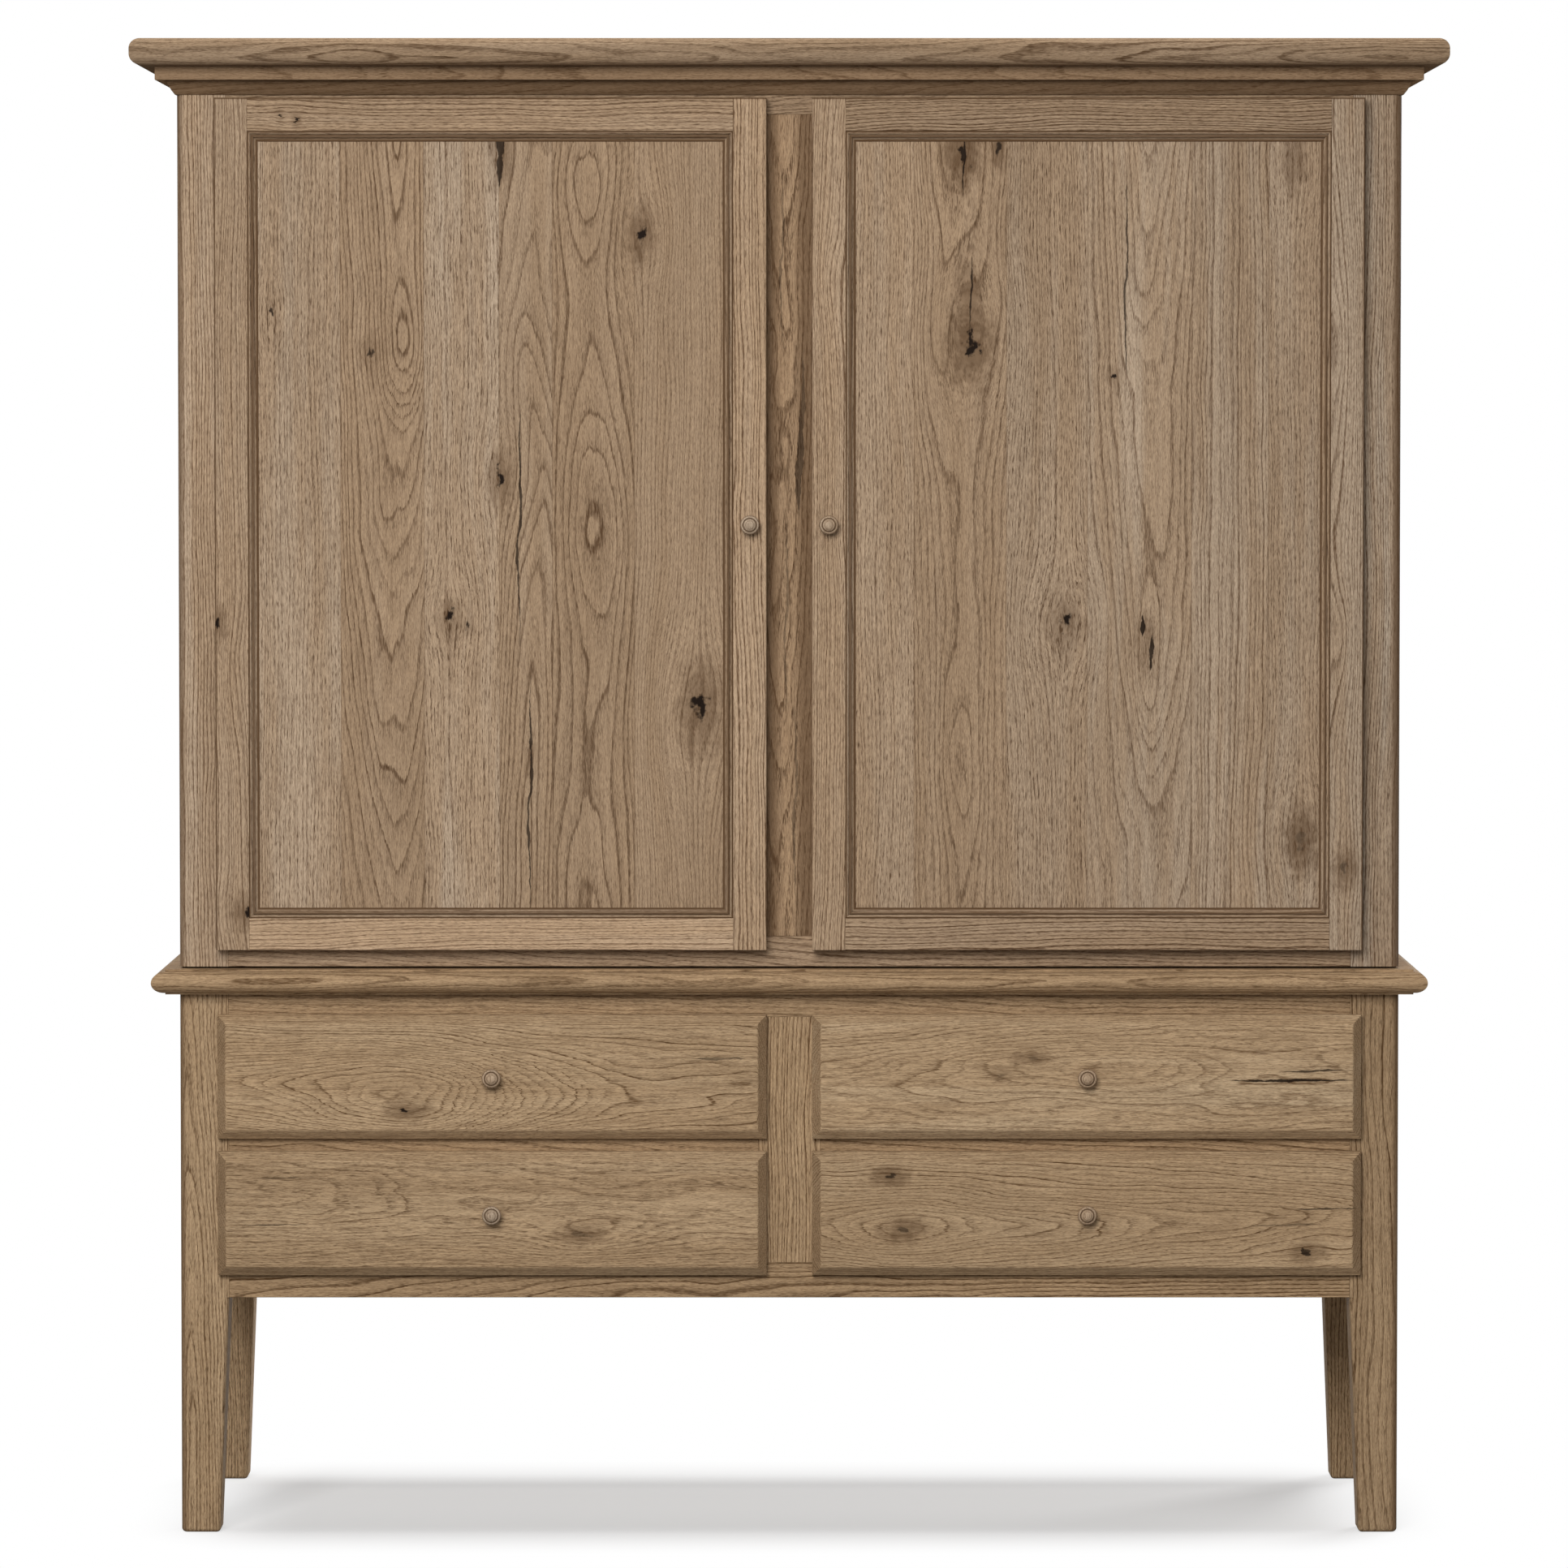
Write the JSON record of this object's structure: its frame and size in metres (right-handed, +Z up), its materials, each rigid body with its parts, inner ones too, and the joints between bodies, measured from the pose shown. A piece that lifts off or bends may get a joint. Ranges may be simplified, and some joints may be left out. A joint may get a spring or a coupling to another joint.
{
  "type": "armoire",
  "caption": "Oak armoire in two cases: framed panel doors over a hanging bay and shelves, on a drawer base with tapered legs and a moulded crown.",
  "frame": {"origin": "on the floor, at the middle of the armoire's overall width and depth", "axes": "+Z up, -Y out of the front with the doors, +X to the right seen from the front"},
  "size_m": [1.778, 0.585, 2.032],
  "materials": {
    "brushed_oak": "greyed brown wire-brushed oak, matt",
    "plain_oak": "plain sanded oak, matt",
    "steel": "satin nickel plate"
  },
  "bodies": {
    "case": {"base_back_panel": "plain_oak", "base_bottom_rail": "brushed_oak", "base_centre_stile": "brushed_oak", "base_middle_rails": "brushed_oak", "base_side_panels": "brushed_oak", "base_top_rail": "brushed_oak", "centre_partition": "plain_oak", "centre_stile": "brushed_oak", "corner_stiles": "brushed_oak", "crown_board": "brushed_oak", "crown_mouldings": "brushed_oak", "drawer_divider": "plain_oak", "drawer_runners": "plain_oak", "front_left_leg": "brushed_oak", "front_right_leg": "brushed_oak", "hanging_rail": "steel", "hinge_arms": "steel", "rail_sockets": "steel", "rear_left_leg": "brushed_oak", "rear_right_leg": "brushed_oak", "shelf_pins": "steel", "shelves": "plain_oak", "upper_back_panel": "plain_oak", "upper_bottom_rail": "brushed_oak", "upper_floor": "plain_oak", "upper_side_panels": "brushed_oak", "upper_top_rail": "brushed_oak", "waist_board": "brushed_oak"},
    "left_door": {"left_door_bead": "brushed_oak", "left_door_hinge_cups": "steel", "left_door_knob": "brushed_oak", "left_door_panel": "brushed_oak", "left_door_rails": "brushed_oak", "left_door_stiles": "brushed_oak"},
    "right_door": {"right_door_bead": "brushed_oak", "right_door_hinge_cups": "steel", "right_door_knob": "brushed_oak", "right_door_panel": "brushed_oak", "right_door_rails": "brushed_oak", "right_door_stiles": "brushed_oak"},
    "upper_left_drawer": {"upper_left_drawer_bottom": "plain_oak", "upper_left_drawer_box_ends": "plain_oak", "upper_left_drawer_front": "brushed_oak", "upper_left_drawer_knob": "brushed_oak", "upper_left_drawer_sides": "plain_oak"},
    "upper_right_drawer": {"upper_right_drawer_bottom": "plain_oak", "upper_right_drawer_box_ends": "plain_oak", "upper_right_drawer_front": "brushed_oak", "upper_right_drawer_knob": "brushed_oak", "upper_right_drawer_sides": "plain_oak"},
    "lower_left_drawer": {"lower_left_drawer_bottom": "plain_oak", "lower_left_drawer_box_ends": "plain_oak", "lower_left_drawer_front": "brushed_oak", "lower_left_drawer_knob": "brushed_oak", "lower_left_drawer_sides": "plain_oak"},
    "lower_right_drawer": {"lower_right_drawer_bottom": "plain_oak", "lower_right_drawer_box_ends": "plain_oak", "lower_right_drawer_front": "brushed_oak", "lower_right_drawer_knob": "brushed_oak", "lower_right_drawer_sides": "plain_oak"}
  },
  "joints": [
    {"name": "left_door_hinge", "type": "hinge", "parent": "case", "child": "left_door", "pos_m": [-0.77, -0.2455, 1.376], "axis": [0, 0, -1], "range_deg": [0, 105]},
    {"name": "right_door_hinge", "type": "hinge", "parent": "case", "child": "right_door", "pos_m": [0.77, -0.2455, 1.376], "axis": [0, 0, 1], "range_deg": [0, 105]},
    {"name": "upper_left_drawer_slide", "type": "slide", "parent": "case", "child": "upper_left_drawer", "axis": [0, -1, 0], "range_m": [0, 0.33]},
    {"name": "upper_right_drawer_slide", "type": "slide", "parent": "case", "child": "upper_right_drawer", "axis": [0, -1, 0], "range_m": [0, 0.33]},
    {"name": "lower_left_drawer_slide", "type": "slide", "parent": "case", "child": "lower_left_drawer", "axis": [0, -1, 0], "range_m": [0, 0.33]},
    {"name": "lower_right_drawer_slide", "type": "slide", "parent": "case", "child": "lower_right_drawer", "axis": [0, -1, 0], "range_m": [0, 0.33]}
  ]
}
